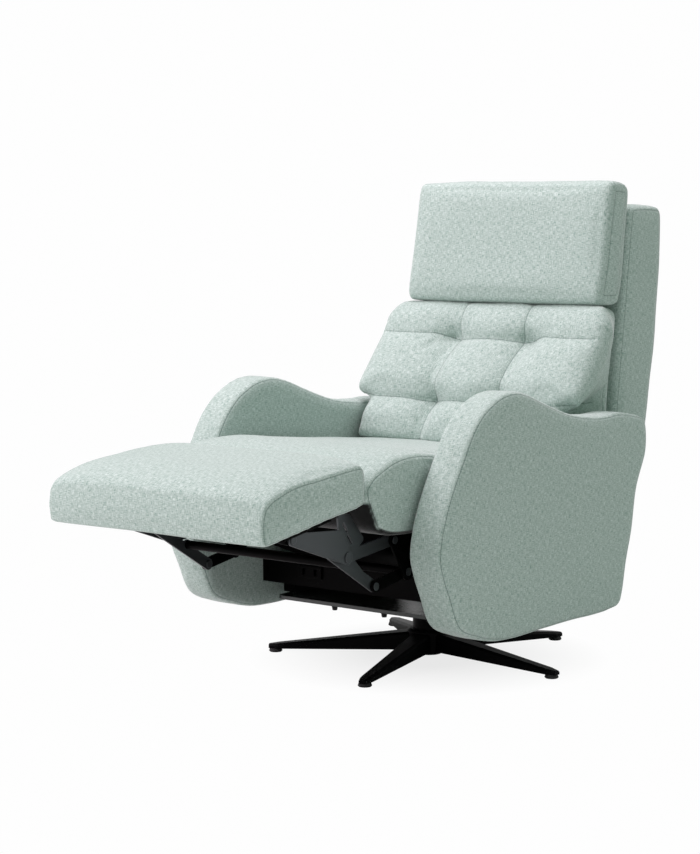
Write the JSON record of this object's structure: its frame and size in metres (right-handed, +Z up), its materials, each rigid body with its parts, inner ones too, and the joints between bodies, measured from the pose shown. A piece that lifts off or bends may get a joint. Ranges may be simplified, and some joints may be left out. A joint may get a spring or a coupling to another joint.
{
  "type": "swivel recliner chair",
  "caption": "Upholstered recliner on a swivelling star base, with a tufted tilting back, a tilting head cushion and a folding footrest.",
  "frame": {"origin": "on the floor, under the middle of the chair's width and of its length with the footrest out", "axes": "+X towards the sitter's left, +Y towards the back, +Z up"},
  "size_m": [0.71, 1.4474, 1.0466],
  "materials": {
    "fabric": "woven melange upholstery, matt",
    "black_steel": "satin black powder coat",
    "grey_steel": "dark grey steel, satin",
    "pale_tray": "pale grey, slightly glossy",
    "black_rubber": "black, matt",
    "board": "black dust cloth over plywood"
  },
  "bodies": {
    "base": {"star_base": "black_steel", "column": "black_steel", "column_collar": "grey_steel", "lower_race": "grey_steel", "hub_cap": "black_rubber", "glide_1": "black_rubber", "glide_2": "black_rubber", "glide_3": "black_rubber", "glide_4": "black_rubber", "glide_5": "black_rubber"},
    "chassis": {"swivel_plate": "grey_steel", "bottom_tray": "pale_tray", "tray_stud_left": "black_rubber", "tray_stud_right": "black_rubber", "front_beam": "black_steel", "rear_beam": "black_steel", "beam_bracket": "black_steel", "base_rail_left": "black_steel", "base_rail_right": "black_steel", "side_plate_left": "black_steel", "side_plate_right": "black_steel", "seat_deck": "board", "seat_cushion": "fabric", "arm_left": "fabric", "arm_right": "fabric", "lift_pin_left": "grey_steel", "lift_pin_right": "grey_steel", "slotted_pin_left": "grey_steel", "slotted_pin_right": "grey_steel", "back_pin_left": "grey_steel", "back_pin_right": "grey_steel"},
    "back": {"back_shell": "fabric", "lumbar_cushion": "fabric", "back_bracket_left": "black_steel", "back_bracket_right": "black_steel", "head_mount_left": "black_steel", "head_mount_right": "black_steel"},
    "head": {"head_cushion": "fabric", "head_leaf_left": "black_steel", "head_leaf_right": "black_steel"},
    "lift_arms": {"lift_arm_left": "black_steel", "lift_arm_right": "black_steel", "torque_tube": "black_steel", "strap_pin_left": "grey_steel", "strap_pin_right": "grey_steel"},
    "straps": {"strap_link_left": "grey_steel", "strap_link_right": "grey_steel", "cross_tube": "black_steel"},
    "footrest": {"footrest_pad": "fabric", "footrest_board": "board", "footrest_bracket_left": "black_steel", "footrest_bracket_right": "black_steel", "bracket_pin_left": "grey_steel", "bracket_pin_right": "grey_steel", "fan_pin_left": "grey_steel", "fan_pin_right": "grey_steel"},
    "slotted_left": {"slotted_link_left": "grey_steel"},
    "slotted_right": {"slotted_link_right": "grey_steel"},
    "fan_left": {"fan_link_left": "grey_steel"},
    "fan_right": {"fan_link_right": "grey_steel"}
  },
  "joints": [
    {"name": "swivel", "type": "hinge", "parent": "base", "child": "chassis", "pos_m": [0, 0.16578, 0.1286], "axis": [0, 0, 1], "continuous": true},
    {"name": "back_recline", "type": "hinge", "parent": "chassis", "child": "back", "pos_m": [0, 0.42778, 0.318], "axis": [-1, 0, 0], "range_deg": [0, 30]},
    {"name": "head_tilt", "type": "hinge", "parent": "back", "child": "head", "pos_m": [0, 0.47677, 0.767], "axis": [1, 0, 0], "range_deg": [0, 30]},
    {"name": "footrest_lift", "type": "hinge", "parent": "chassis", "child": "lift_arms", "pos_m": [0, -0.22322, 0.262], "axis": [1, 0, 0], "range_deg": [0, 86.5]},
    {"name": "strap_fold", "type": "hinge", "parent": "lift_arms", "child": "straps", "pos_m": [0, -0.32322, 0.246], "axis": [-1, 0, 0], "range_deg": [0, 94.6]},
    {"name": "footrest_fold", "type": "hinge", "parent": "straps", "child": "footrest", "pos_m": [0, -0.54022, 0.375], "axis": [1, 0, 0], "range_deg": [0, 94.6]},
    {"name": "slotted_swing_left", "type": "hinge", "parent": "chassis", "child": "slotted_left", "pos_m": [0, -0.26922, 0.331], "axis": [1, 0, 0], "range_deg": [0, 87.4]},
    {"name": "fan_swing_left", "type": "hinge", "parent": "footrest", "child": "fan_left", "pos_m": [0, -0.58422, 0.37], "axis": [-1, 0, 0], "range_deg": [0, 100.6]},
    {"name": "slotted_swing_right", "type": "hinge", "parent": "chassis", "child": "slotted_right", "pos_m": [0, -0.26922, 0.331], "axis": [1, 0, 0], "range_deg": [0, 87.4]},
    {"name": "fan_swing_right", "type": "hinge", "parent": "footrest", "child": "fan_right", "pos_m": [0, -0.58422, 0.37], "axis": [-1, 0, 0], "range_deg": [0, 100.6]}
  ],
  "couplings": [
    {"joint": "strap_fold", "follows": "footrest_lift", "ratio": 1.0925},
    {"joint": "footrest_fold", "follows": "footrest_lift", "ratio": 1.0925},
    {"joint": "slotted_swing_left", "follows": "footrest_lift", "ratio": 1.0092},
    {"joint": "fan_swing_left", "follows": "footrest_lift", "ratio": 1.1619},
    {"joint": "slotted_swing_right", "follows": "footrest_lift", "ratio": 1.0092},
    {"joint": "fan_swing_right", "follows": "footrest_lift", "ratio": 1.1619}
  ]
}
